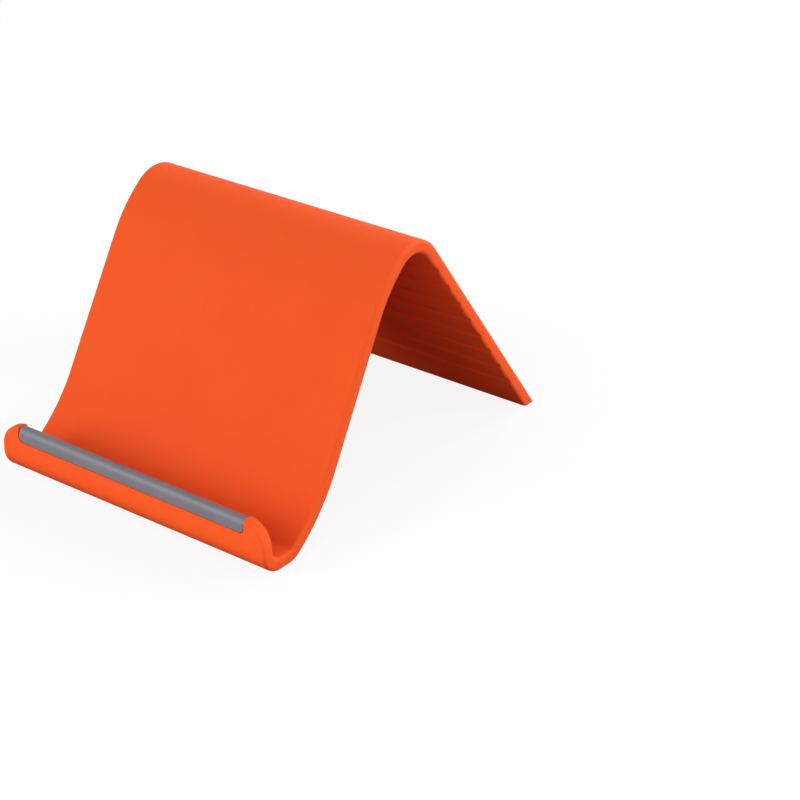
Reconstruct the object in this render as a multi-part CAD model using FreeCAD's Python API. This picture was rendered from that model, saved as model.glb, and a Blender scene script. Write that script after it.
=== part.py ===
import FreeCAD, Part
import math
import os

# A desktop phone stand. One moulded sheet is bent into a lip, a cradle for the phone, a back rest,
# a crest and a leg, and a soft strip caps the rim of the lip.
# Millimetres, +Z up, the front faces -Y. The origin is on the floor, in the middle of the footprint.

# Sheet
width = 65.0  # across the stand, at the floor
wall = 2.5  # thickness of the sheet
draft = 1.1  # lean of each end face towards the crest, in degrees
edge_round = 0.6  # rounding along the edges of the sheet

# Lip and cradle, with every bend measured on the middle of the sheet
lip_height = 10.6  # top of the lip above the floor
lip_corner = 5.0  # rounding of the lip's two upper corners, seen from the front
lip_bend = 3.3  # radius from the lip into the flat
cradle_flat = 2.5  # flat run that the front of the stand rests on
heel_bend = 3.3  # radius from the flat into the sweep
heel_angle = 34.0  # slope of the sheet where the sweep starts, in degrees
sweep_bend = 35.0  # radius from the heel up to the back rest

# Back rest, crest and leg
rest_angle = 60.0  # slope of the back rest, in degrees
rest_length = 28.0  # straight run of the back rest
shoulder_bend = 28.0  # radius from the back rest towards the crest
shoulder_angle = 37.0  # slope of the sheet where the crest starts, in degrees
crest_bend = 6.5  # radius over the crest
leg_angle = 54.0  # slope of the leg, in degrees

# Grooves across the inside of the leg
groove_pitch = 5.7  # from one groove to the next, along the leg
groove_width = 2.2
groove_depth = 0.4
groove_foot_margin = 9.9  # from the floor to the lowest groove, along the leg
groove_crest_margin = 1.5  # least run of plain leg above the highest groove

# Soft strip over a tongue that stands in the lip's rim
strip_inset = 5.0  # from each end of the lip to the strip
strip_height = 2.9  # how far the strip reaches down the lip
strip_cap = 1.0  # strip over the top of the tongue
strip_round = 1.1  # rounding of the strip's two upper edges
strip_corner = 1.0  # rounding of the strip's lower corners, seen from the front
strip_gap = 0.3  # between each end of the strip and the lip
tongue = 1.1  # thickness of the tongue

half_wall = wall / 2
largest_round = 0.45 * wall  # leaves a flat between the roundings on both sides of the sheet
strip_half = width / 2 - strip_inset
strip_foot = lip_height - strip_height

# Runs and bends of the middle of the sheet, from the lip's rim to the start of the leg:
# the length of a run or the radius of a bend, and the turn in degrees, to the left if positive
path = [
    (lip_height - half_wall - lip_bend, 0.0),
    (lip_bend, 90.0),
    (cradle_flat, 0.0),
    (heel_bend, heel_angle),
    (sweep_bend, rest_angle - heel_angle),
    (rest_length, 0.0),
    (shoulder_bend, shoulder_angle - rest_angle),
    (crest_bend, -leg_angle - shoulder_angle),
]


def along(heading):
    """Unit vector in the YZ plane at a heading in degrees above +Y."""
    angle = math.radians(heading)
    return FreeCAD.Vector(0, math.cos(angle), math.sin(angle))


def skin(offset):
    """Edges of one skin of the sheet, offset to the left of its middle, from the rim to the floor."""
    point = FreeCAD.Vector(0, 0, lip_height)
    heading = -90.0  # straight down, in degrees
    edges = []
    for size, turn in path:
        start = point + along(heading + 90) * offset
        if turn == 0:
            point = point + along(heading) * size
            end = start + along(heading) * size
            edges.append(Part.LineSegment(start, end).toShape())
            continue
        reach = math.copysign(size, turn)
        centre = point + along(heading + 90) * reach
        middle = centre - along(heading + 90 + turn / 2) * (reach - offset)
        heading += turn
        point = centre - along(heading + 90) * reach
        end = point + along(heading + 90) * offset
        edges.append(Part.Arc(start, middle, end).toShape())
    leg_top = point + along(heading + 90) * offset
    foot = leg_top + along(heading) * (leg_top.z / math.sin(math.radians(leg_angle)))
    edges.append(Part.LineSegment(leg_top, foot).toShape())
    return edges


def first(edges):
    """Point where a skin starts, on the lip's rim."""
    return edges[0].Vertexes[0].Point


def last(edges):
    """Point where a skin ends, on the floor."""
    return edges[-1].Vertexes[-1].Point


def bent_sheet(inner, outer):
    """Sheet between its two skins, across the full width, with both end faces leaning in."""
    rim = Part.LineSegment(first(inner), first(outer)).toShape()
    foot = Part.LineSegment(last(inner), last(outer)).toShape()
    outline = Part.Wire(Part.sortEdges(inner + outer + [rim, foot])[0])
    blank = Part.Face(outline).extrude(FreeCAD.Vector(width, 0, 0))
    blank.translate(FreeCAD.Vector(-width / 2, 0, 0))
    box = blank.BoundBox
    half_crest = width / 2 - box.ZMax * math.tan(math.radians(draft))
    corners = [(-width / 2, 0), (width / 2, 0), (half_crest, box.ZMax), (-half_crest, box.ZMax)]
    points = [FreeCAD.Vector(x, box.YMin, z) for x, z in corners]
    front = Part.Face(Part.makePolygon(points + points[:1]))
    return blank.common(front.extrude(FreeCAD.Vector(0, box.YLength, 0)))


def round_lip_corners(sheet):
    """Round the lip's two upper corners, at the short edges across its rim."""
    short = [edge for edge in sheet.Edges
             if edge.BoundBox.ZMin > lip_height - half_wall
             and edge.BoundBox.YMax < wall
             and edge.BoundBox.XLength < half_wall]
    return sheet.makeFillet(lip_corner, short)


def round_long_edges(sheet):
    """Round the edges where the two skins meet the end faces, the lip's corners and its rim."""
    around = [face for face in sheet.Faces
              if abs(face.normalAt(*middle_of(face)).x) > 0.1
              or (face.BoundBox.ZMin > lip_height - half_wall and face.BoundBox.YMax < wall)]
    edges = [edge for face in around for edge in face.Edges]
    long_edges = [edge for edge in edges
                  if sum(edge.isSame(other) for other in edges) == 1
                  and edge.BoundBox.ZMax > half_wall / 2]
    return sheet.makeFillet(min(edge_round, largest_round), long_edges)


def middle_of(face):
    """Parameters in the middle of a face."""
    u_min, u_max, v_min, v_max = face.ParameterRange
    return (u_min + u_max) / 2, (v_min + v_max) / 2


def cut_grooves(sheet, inner_leg):
    """Cut shallow round grooves across the inside of the leg, evenly spaced up from the floor."""
    radius = (groove_width ** 2 / 4 + groove_depth ** 2) / (2 * groove_depth)
    count = int((inner_leg.Length - groove_foot_margin - groove_crest_margin) / groove_pitch) + 1
    lowest = inner_leg.Vertexes[-1].Point - along(-leg_angle) * groove_foot_margin
    axis = lowest - along(90 - leg_angle) * (radius - groove_depth) - FreeCAD.Vector(width / 2, 0, 0)
    for index in range(count):
        place = axis - along(-leg_angle) * (index * groove_pitch)
        sheet = sheet.cut(Part.makeCylinder(radius, width, place, FreeCAD.Vector(1, 0, 0)))
    return sheet


def rim_block(half_length, thickness):
    """Block round the lip's rim down to the strip's foot, with its two lower corners rounded."""
    corner = FreeCAD.Vector(-half_length, -thickness / 2, strip_foot)
    block = Part.makeBox(2 * half_length, thickness, strip_height, corner)
    lower = [edge for edge in block.Edges
             if edge.BoundBox.ZMax < strip_foot + strip_corner and edge.BoundBox.XLength < strip_corner]
    return block.makeFillet(strip_corner, lower)


def tongue_block():
    """Tongue that the strip straddles, long enough to run into the lip at both ends."""
    corner = FreeCAD.Vector(-width / 2, -tongue / 2, strip_foot)
    return Part.makeBox(width, tongue, strip_height - strip_cap, corner)


def cut_strip_seat(sheet):
    """Cut the rim back to the tongue over the strip's length and the gap at each end of it."""
    seat = rim_block(strip_half + strip_gap, 2 * wall)
    return sheet.cut(seat.cut(tongue_block()))


def grip_strip():
    """Soft strip, flush with the lip, hollowed for the tongue and rounded along its top."""
    strip = rim_block(strip_half, wall)
    upper = [edge for edge in strip.Edges
             if edge.BoundBox.ZMin > lip_height - half_wall and edge.BoundBox.XLength > strip_half]
    strip = strip.makeFillet(min(strip_round, largest_round), upper)
    return strip.cut(tongue_block())


phone_side = skin(half_wall)
under_side = skin(-half_wall)
body = bent_sheet(phone_side, under_side)
body = round_lip_corners(body)
body = round_long_edges(body)
body = cut_grooves(body, under_side[-1])
body = cut_strip_seat(body)

middle = (last(phone_side).y - half_wall) / 2
os.makedirs("parts", exist_ok=True)
for name, shape in [("stand_body", body), ("grip_strip", grip_strip())]:
    shape.translate(FreeCAD.Vector(0, -middle, 0))
    shape.exportStep(f"parts/{name}.step")
    print(name, shape.isValid(), len(shape.Solids), round(shape.Volume, 1), shape.BoundBox)
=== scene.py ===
# %% [markdown]
# # A phone stand of bent plastic, dressed for its picture
# The stand is one moulded sheet of orange plastic with a soft grey strip along the rim of its lip.
# Its solids come ready made, so this lesson adds what the eye looks for: a camera in the right place,
# soft light on white paper, a matt moulded plastic, and a strip of silicone with round shoulders.

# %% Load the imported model
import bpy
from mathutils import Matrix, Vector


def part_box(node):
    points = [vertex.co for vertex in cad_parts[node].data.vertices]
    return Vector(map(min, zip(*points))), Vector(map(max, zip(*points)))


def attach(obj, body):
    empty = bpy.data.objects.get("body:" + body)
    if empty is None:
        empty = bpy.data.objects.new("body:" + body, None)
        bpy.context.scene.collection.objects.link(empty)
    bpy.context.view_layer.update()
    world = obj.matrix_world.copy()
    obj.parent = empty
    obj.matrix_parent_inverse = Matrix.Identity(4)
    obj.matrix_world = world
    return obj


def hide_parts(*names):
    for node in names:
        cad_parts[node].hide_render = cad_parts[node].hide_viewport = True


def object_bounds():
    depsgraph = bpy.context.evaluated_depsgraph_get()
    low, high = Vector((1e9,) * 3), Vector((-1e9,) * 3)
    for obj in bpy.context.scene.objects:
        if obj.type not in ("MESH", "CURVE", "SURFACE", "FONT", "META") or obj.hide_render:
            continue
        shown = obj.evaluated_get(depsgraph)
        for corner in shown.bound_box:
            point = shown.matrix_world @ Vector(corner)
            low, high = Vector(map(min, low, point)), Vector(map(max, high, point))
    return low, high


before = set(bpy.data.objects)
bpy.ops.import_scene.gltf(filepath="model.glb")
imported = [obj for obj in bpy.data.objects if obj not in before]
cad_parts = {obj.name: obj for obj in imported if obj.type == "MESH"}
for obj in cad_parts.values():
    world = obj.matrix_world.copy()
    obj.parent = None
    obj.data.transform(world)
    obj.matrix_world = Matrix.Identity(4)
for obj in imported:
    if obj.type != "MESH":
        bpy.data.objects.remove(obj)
cad_box = [list(corner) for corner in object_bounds()]

from math import cos, pi, radians, sin
import bpy
import numpy as np
from mathutils import Vector

MM = 0.001  # a millimetre in Blender's metres
scene = bpy.context.scene
print("nodes", sorted(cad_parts), "box in mm", np.round(np.array(cad_box) / MM, 2).tolist())

# %% [markdown]
# ## The camera
# The place, the direction and the lens were worked out from the outline of the stand in its picture:
# the camera looks down at the front right corner from about 43 cm. A long lens keeps the edges of the
# stand almost parallel. Moving a camera by hand until it looks right is slow, so the focal length is kept
# as it was measured, in pixels of a square picture, and is turned into millimetres of lens here.

# %% Camera
PICTURE_PIXELS = 800
FOCAL_PIXELS = 2191.5
SENSOR_MM = 36.0  # width of the sensor
CAMERA_MM = (246.376, -286.668, 208.396)  # place, from the middle of the stand's footprint
LOOK_DOWN = 28.028  # degrees below the horizon
LOOK_LEFT = 37.004  # degrees to the left of straight back

lens = bpy.data.cameras.new("camera")
lens.sensor_width = SENSOR_MM
lens.lens = SENSOR_MM * FOCAL_PIXELS / PICTURE_PIXELS
camera = bpy.data.objects.new("camera", lens)
camera.location = np.array(CAMERA_MM) * MM
camera.rotation_euler = (radians(90 - LOOK_DOWN), 0, radians(LOOK_LEFT))
scene.collection.objects.link(camera)
scene.camera = camera
print("lens", round(lens.lens, 2), "mm")

# %% [markdown]
# ## Colours and nodes
# A colour picker shows sRGB, while a shader counts light, so one function turns a hex colour into
# linear light. A second one adds a node with its settings, its fixed values and its links, so that
# a material reads as a list of steps.

# %% Helpers for materials
def linear(hex_colour):
    """Linear RGBA of an sRGB hex colour: a channel is divided by 12.92 where it is dark, and elsewhere
    0.055 is added, the sum is divided by 1.055 and raised to the power 2.4."""
    channels = np.array([int(hex_colour[i:i + 2], 16) for i in (1, 3, 5)]) / 255
    light = np.where(channels <= 0.04045, channels / 12.92, ((channels + 0.055) / 1.055) ** 2.4)
    return (*light.tolist(), 1.0)


def add(tree, kind, values=None, links=None, **settings):
    """Add a node of a kind, with its settings, the values of its sockets, and for each linked socket the
    node and output that it reads."""
    new = tree.nodes.new("ShaderNode" + kind)
    for name, value in settings.items():
        setattr(new, name, value)
    for name, value in (values or {}).items():
        new.inputs[name].default_value = value
    for name, (source, output) in (links or {}).items():
        tree.links.new(source.outputs[output], new.inputs[name])
    return new


def empty_material(name):
    """A material without nodes, and its node tree."""
    made = bpy.data.materials.new(name)
    made.use_nodes = True
    made.node_tree.nodes.clear()
    return made, made.node_tree


print("orange as light", np.round(linear("#F55004"), 3).tolist())

# %% [markdown]
# ## Soft light
# In the picture the cradle behind the lip is only a little darker than the back rest, and the right end
# faces are as bright, so soft lamps stand all round. The largest is in front and shines down into the
# cradle. A tall one at the front left draws the highlight along the strip. The one on the right stands
# further back than the stand, so that it lights the end faces and leaves the inside of the leg dark, and
# one from behind keeps the crest bright. Big lamps give soft shadows. A level of 1 means that a surface
# that faces the lamp shows its colour as written, and the lamps and a pale sky that light one side of
# the stand together come to about that.

# %% Lamps
AIM = Vector((0, 0, 0.02))  # the middle of the stand, in metres
LAMP_DISTANCE = 0.93  # metres


def softbox(name, turn, height, size, level):
    """Area lamp of a width and a height in metres that faces the stand, on a sphere round it: turned to
    the right from the front and raised by two angles in degrees. The power is the level times the square
    of pi times the distance, which lights a facing surface to that level."""
    lamp = bpy.data.lights.new(name, "AREA")
    lamp.shape = "RECTANGLE"
    lamp.size, lamp.size_y = size
    lamp.energy = level * (pi * LAMP_DISTANCE) ** 2
    turn, height = radians(turn), radians(height)
    to_lamp = Vector((sin(turn) * cos(height), -cos(turn) * cos(height), sin(height)))
    holder = bpy.data.objects.new(name, lamp)
    holder.location = AIM + LAMP_DISTANCE * to_lamp
    holder.rotation_euler = to_lamp.to_track_quat("Z", "Y").to_euler()
    scene.collection.objects.link(holder)
    return round(lamp.energy, 2)


print("front", softbox("front_softbox", turn=8, height=36, size=(0.80, 0.80), level=0.40), "W")
print("left", softbox("left_softbox", turn=-34, height=19, size=(0.35, 0.57), level=0.45), "W")
print("side", softbox("side_softbox", turn=116, height=16, size=(0.60, 0.60), level=0.84), "W")
print("back", softbox("back_softbox", turn=178, height=34, size=(0.60, 0.60), level=0.47), "W")

# %% [markdown]
# ## Light from below
# White paper throws light up at what stands on it, and that is why the lip is so bright. All of the
# paper could do it, but then it would also fill the hollow under the arch, which is dark in the picture.
# So the paper gives back little, and a flat lamp that lies on it in front of the lip does that work.
# Neither the camera nor a reflection sees the lamp, and its face is a little less bright than white
# paper in full light.

# %% Lamp on the paper
BOUNCE_SIZE = 0.2  # metres
BOUNCE_LEVEL = 0.76  # brightness of its face, where 1 is white
BOUNCE_GAP = 0.004  # metres from the front of the stand
BOUNCE_LIFT = 0.0005  # metres above the paper

panel_light = bpy.data.lights.new("front_bounce", "AREA")
panel_light.size = BOUNCE_SIZE
panel_light.energy = pi * BOUNCE_SIZE ** 2 * BOUNCE_LEVEL
panel = bpy.data.objects.new("front_bounce", panel_light)
panel.location = (0, cad_box[0][1] - BOUNCE_GAP - BOUNCE_SIZE / 2, BOUNCE_LIFT)
panel.rotation_euler = (pi, 0, 0)
panel.visible_camera = False
panel.visible_glossy = False
scene.collection.objects.link(panel)
print("bounce", round(panel_light.energy, 3), "W")

# %% [markdown]
# ## White sky and white paper
# The background is plain white. The sky is white where the camera or a reflection sees it, and dimmer
# as a lamp, so that the softboxes draw the form. The paper under the stand does the same: the camera
# sees it almost white with a soft shadow, and it throws back little light. Further off the paper turns
# into plain white, so that no horizon shows where it meets the sky.

# %% Sky
SKY_LEVEL = 0.24  # as a lamp, where 1 is white
WHITE = (1.0, 1.0, 1.0, 1.0)

world = bpy.data.worlds.new("white_sky")
world.use_nodes = True
scene.world = world
tree = world.node_tree
tree.nodes.clear()
path = add(tree, "LightPath")
mirrored = add(tree, "Math", links={0: (path, "Is Glossy Ray"), 1: (path, "Is Transmission Ray")},
               operation="MAXIMUM")
seen = add(tree, "Math", links={0: (path, "Is Camera Ray"), 1: (mirrored, 0)}, operation="MAXIMUM")
dim = add(tree, "Background", {"Color": WHITE, "Strength": SKY_LEVEL})
bright = add(tree, "Background", {"Color": WHITE, "Strength": 1.0})
sky = add(tree, "MixShader", links={0: (seen, 0), 1: (dim, 0), 2: (bright, 0)})
add(tree, "OutputWorld", links={"Surface": (sky, 0)})
print("sky level", SKY_LEVEL)

# %% Paper floor
PAPER_GLOW = 0.88  # share of plain white in what the camera sees, the rest shows light and shadow
FADE_START, FADE_END = 0.25, 1.2  # metres from the stand over which that share grows to all of it
PAPER_BOUNCE = 0.05  # share of the light that the paper throws back at the stand
FLOOR_HALF = 3.0  # metres

paper, tree = empty_material("white_paper")
path = add(tree, "LightPath")
mirrored = add(tree, "Math", links={0: (path, "Is Glossy Ray"), 1: (path, "Is Transmission Ray")},
               operation="MAXIMUM")
shaded = add(tree, "BsdfDiffuse", {"Color": WHITE})
glow = add(tree, "Emission", {"Color": WHITE, "Strength": 1.0})
place = add(tree, "TexCoord")
reach = add(tree, "VectorMath", links={0: (place, "Object")}, operation="LENGTH")
fade = add(tree, "MapRange", {"From Min": FADE_START, "From Max": FADE_END, "To Min": PAPER_GLOW},
           {"Value": (reach, "Value")})
shown = add(tree, "MixShader", links={0: (fade, 0), 1: (shaded, 0), 2: (glow, 0)})
bounce = add(tree, "BsdfDiffuse", {"Color": (PAPER_BOUNCE, PAPER_BOUNCE, PAPER_BOUNCE, 1.0)})
unseen = add(tree, "MixShader", links={0: (mirrored, 0), 1: (bounce, 0), 2: (shaded, 0)})
surface = add(tree, "MixShader", links={0: (path, "Is Camera Ray"), 1: (unseen, 0), 2: (shown, 0)})
add(tree, "OutputMaterial", links={"Surface": (surface, 0)})

floor_mesh = bpy.data.meshes.new("floor")
corners = np.array([[-1, -1, 0], [1, -1, 0], [1, 1, 0], [-1, 1, 0]]) * FLOOR_HALF
floor_mesh.from_pydata(corners.tolist(), [], [(0, 1, 2, 3)])
floor_mesh.materials.append(paper)
floor = bpy.data.objects.new("floor", floor_mesh)
scene.collection.objects.link(floor)
print("paper", 2 * FLOOR_HALF, "m wide")

# %% [markdown]
# ## Moulded ABS
# The body is injection-moulded ABS, coloured right through. Spark erosion left the mould with a fine
# even grain, which the plastic copies: highlights are broad and the colour stays full. Plastic that
# flowed into the mould also shows faint clouds, a little lighter or darker, a little glossier or duller.
# Some red light wanders through the sheet and comes out on the other side, which makes the shade inside
# the leg redder. The solid already has the right shape, so only its material changes. Both patterns are
# noise in the stand's own coordinates, sized in millimetres.

# %% Material of the body
CLOUD_MM = 16.0  # width of a cloud in the colour
CLOUD_ENDS = (0.35, 0.65)  # values of the noise where its two colours are reached
BODY_COLOURS = ("#F55004", "#F65406")
BODY_ROUGHNESS = (0.80, 0.90)
GRAIN_MM = 0.35  # the real grain is about 0.1 mm wide, and is drawn coarser so that it shows
GRAIN_DEPTH_MM = 0.02
RED_TRAVEL_MM = 10.0  # how far red light spreads inside, where green and blue are soon swallowed

abs_plastic, tree = empty_material("moulded_matt_abs")
place = add(tree, "TexCoord")
cloud = add(tree, "TexNoise", {"Scale": 1 / (CLOUD_MM * MM), "Detail": 2.0, "Roughness": 0.5},
            {"Vector": (place, "Object")})
tint = add(tree, "ValToRGB", links={0: (cloud, 0)})
for stop, position, colour in zip(tint.color_ramp.elements, CLOUD_ENDS, BODY_COLOURS):
    stop.position = position
    stop.color = linear(colour)
gloss = add(tree, "MapRange", {"To Min": BODY_ROUGHNESS[0], "To Max": BODY_ROUGHNESS[1]},
            {"Value": (cloud, 0)})
grain = add(tree, "TexNoise", {"Scale": 1 / (GRAIN_MM * MM), "Detail": 3.0, "Roughness": 0.6},
            {"Vector": (place, "Object")})
relief = add(tree, "Bump", {"Strength": 0.5, "Distance": GRAIN_DEPTH_MM * MM}, {"Height": (grain, 0)})
shader = add(tree, "BsdfPrincipled",
             {"IOR": 1.5, "Subsurface Weight": 0.25,
              "Subsurface Radius": (1.0, 0.2, 0.1), "Subsurface Scale": RED_TRAVEL_MM * MM},
             {"Base Color": (tint, 0), "Roughness": (gloss, 0), "Normal": (relief, 0)})
add(tree, "OutputMaterial", links={"Surface": (shader, 0)})

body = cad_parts["stand_body"]
body.material_slots[0].material = abs_plastic
print("body", len(body.data.polygons), "faces,", abs_plastic.name)

# %% [markdown]
# ## The soft strip
# The strip is a cap of silicone, pushed over a tongue in the rim of the lip, so that a phone stands
# against something soft. A box with bevelled edges would do from far off. Here its section is drawn as
# a bar with round shoulders, slightly bulging sides and a slot for the tongue, and is carried along the
# rim as one array. At both ends the skin turns in round a quarter circle, and the foot rises round a
# larger one, because a moulded strip has no sharp corner.

# %% Sizes of the strip, in millimetres
strip_low, strip_high = (np.array(corner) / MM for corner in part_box("grip_strip"))
MIDDLE_Y = (strip_low[1] + strip_high[1]) / 2
HALF_THICK = (strip_high[1] - strip_low[1]) / 2
END_PRESS = 0.15  # the soft ends press into half of the gap that the lip leaves
AIR = 0.01  # between the strip and what it sits on
HALF_LENGTH = strip_high[0] + END_PRESS
FOOT, TOP = strip_low[2] + AIR, strip_high[2]
SHOULDER_WIDE, SHOULDER_TALL = 1.1, 1.65  # the two upper edges are quarter ellipses
EDGE = 0.22  # radius of the lower edges
END_TURN = 0.15  # radius of both ends, smaller than EDGE, so that the lower edges stay round there
CORNER = 1.0  # radius of the two lower corners, seen from the front
CROWN = 0.07  # bulge of the sides
TONGUE_HALF = 0.55  # half the thickness of the tongue
COVER = 1.0  # strip over the top of the tongue
SLOT_HALF, SLOT_TOP = TONGUE_HALF + AIR, TOP - COVER + AIR
print("strip", round(2 * HALF_LENGTH, 2), "x", round(2 * HALF_THICK, 2), "x", round(TOP - FOOT, 2), "mm")


# %% Sections across the strip
EDGE_POINTS, SIDE_POINTS, SHOULDER_POINTS = 7, 12, 21  # along each stretch of the outline, with its ends


def arc(centre, reach, start, end, count):
    """Points on a quarter ellipse, as columns: the centre plus its reach across and up times the cosine
    and the sine of angles that run evenly from start to end, in degrees. Each row is one section."""
    angle = np.radians(np.linspace(start, end, count))
    return centre[0] + reach[0] * np.cos(angle), centre[1] + reach[1] * np.sin(angle)


def strip_sections(inset, foot):
    """Closed outlines, one row for each inset of the skin and height of the foot: round lower edge, side,
    shoulder, the same mirrored down the back, and the slot. The sides bulge, because the distance from
    the middle shrinks with the square of the height above or below the belly."""
    inset = inset[:, None]
    foot = foot[:, None] + inset
    half, top = HALF_THICK - inset, TOP - inset
    edge, wide, tall = EDGE - inset, SHOULDER_WIDE - inset, SHOULDER_TALL - inset
    low_u, low_w = arc((edge - half, foot + edge), (edge, edge), 270, 180, EDGE_POINTS)
    high_u, high_w = arc((wide - half, top - tall), (wide, tall), 180, 90, SHOULDER_POINTS)
    share = np.linspace(0, 1, SIDE_POINTS)[1:-1]
    side_w = low_w[:, -1:] + (high_w[:, :1] - low_w[:, -1:]) * share
    side_u = -half + 0 * side_w
    across, up = np.hstack([low_u, side_u, high_u]), np.hstack([low_w, side_w, high_w])
    belly, reach = (FOOT + TOP) / 2, (TOP - FOOT) / 2
    across = across * (1 - CROWN / HALF_THICK * ((up - belly) / reach) ** 2)
    slot_u = np.array([1, 1, -1, -1]) * SLOT_HALF + 0 * foot
    slot_w = np.hstack([foot, SLOT_TOP + 0 * foot, SLOT_TOP + 0 * foot, foot])
    return np.hstack([across, -across[:, ::-1], slot_u]), np.hstack([up, up[:, ::-1], slot_w])


# %% Carry the sections along the rim
CORNER_SECTIONS, STRAIGHT_SECTIONS = 17, 24  # along each corner and each straight half, with its ends


def rise(along, radius):
    """How far a corner of a radius has turned in at a distance along the strip: the radius less the
    height of the circle over the part of the corner that lies behind."""
    past = np.maximum(np.abs(along) - (HALF_LENGTH - radius), 0)
    return radius - np.sqrt(np.maximum(radius ** 2 - past ** 2, 0))


turn = np.sin(np.radians(np.linspace(0, 90, CORNER_SECTIONS)))
end_part = HALF_LENGTH - CORNER + CORNER * turn
straight = np.linspace(0, HALF_LENGTH - CORNER, STRAIGHT_SECTIONS)[1:-1]
along = np.concatenate([-end_part[::-1], -straight[::-1], [0.0], straight, end_part])
across, up = strip_sections(rise(along, END_TURN), FOOT + rise(along, CORNER))
points = np.stack([along[:, None] + 0 * across, MIDDLE_Y + across, up], axis=2) * MM
print("sections", points.shape[0], "points in each", points.shape[1])


# %% Mesh of the strip
SHARP_ANGLE = 50  # degrees between two faces, above which their edge isn't shaded round


def tube_faces(sections, count):
    """Quads between neighbouring sections, closed round each section, and one flat cap at each end."""
    i, j = np.meshgrid(np.arange(sections - 1), np.arange(count), indexing="ij")
    k = (j + 1) % count
    quads = np.stack([i * count + j, (i + 1) * count + j, (i + 1) * count + k, i * count + k], axis=2)
    first, last = np.arange(count), np.arange(count)[::-1] + (sections - 1) * count
    return quads.reshape(-1, 4).tolist() + [first.tolist(), last.tolist()]


cap = bpy.data.meshes.new("silicone_strip")
cap.from_pydata(points.reshape(-1, 3).tolist(), [], tube_faces(*points.shape[:2]))
cap.polygons.foreach_set("use_smooth", np.ones(len(cap.polygons), bool))
cap.set_sharp_from_angle(angle=radians(SHARP_ANGLE))
strip = bpy.data.objects.new("silicone_strip", cap)
scene.collection.objects.link(strip)
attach(strip, "root")
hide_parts("grip_strip")
print("strip", len(cap.polygons), "faces")

# %% [markdown]
# ## Silicone
# Grey silicone rubber comes out of a polished mould with a satin skin: a soft bright line runs along
# the shoulder of the strip, and dust and fingers leave it slightly uneven. One plain grey would look
# painted, so a noise a few millimetres wide shifts the colour and the gloss a little, and a finer one
# gives the skin its bump.

# %% Material of the strip
SMEAR_MM = 5.0  # width of a smear
SMEAR_ENDS = (0.3, 0.7)  # values of the noise where its two colours are reached
STRIP_COLOURS = ("#6B6871", "#716E77")
STRIP_ROUGHNESS = (0.39, 0.49)
SKIN_MM = 0.3  # the real skin is finer, and is drawn coarser so that it shows
SKIN_DEPTH_MM = 0.02

silicone, tree = empty_material("moulded_satin_silicone")
place = add(tree, "TexCoord")
smear = add(tree, "TexNoise", {"Scale": 1 / (SMEAR_MM * MM), "Detail": 3.0}, {"Vector": (place, "Object")})
tint = add(tree, "ValToRGB", links={0: (smear, 0)})
for stop, position, colour in zip(tint.color_ramp.elements, SMEAR_ENDS, STRIP_COLOURS):
    stop.position = position
    stop.color = linear(colour)
gloss = add(tree, "MapRange", {"To Min": STRIP_ROUGHNESS[0], "To Max": STRIP_ROUGHNESS[1]},
            {"Value": (smear, 0)})
skin = add(tree, "TexNoise", {"Scale": 1 / (SKIN_MM * MM), "Detail": 2.0}, {"Vector": (place, "Object")})
relief = add(tree, "Bump", {"Strength": 0.4, "Distance": SKIN_DEPTH_MM * MM}, {"Height": (skin, 0)})
shader = add(tree, "BsdfPrincipled", {"IOR": 1.47},
             {"Base Color": (tint, 0), "Roughness": (gloss, 0), "Normal": (relief, 0)})
add(tree, "OutputMaterial", links={"Surface": (shader, 0)})
cap.materials.append(silicone)
print("strip material", silicone.name)

# %% [markdown]
# ## Finish
# The looks must not change the size of the part. The view is set to Standard, so that a colour
# renders as it is written.

# %% Finish
scene.view_settings.view_transform = "Standard"
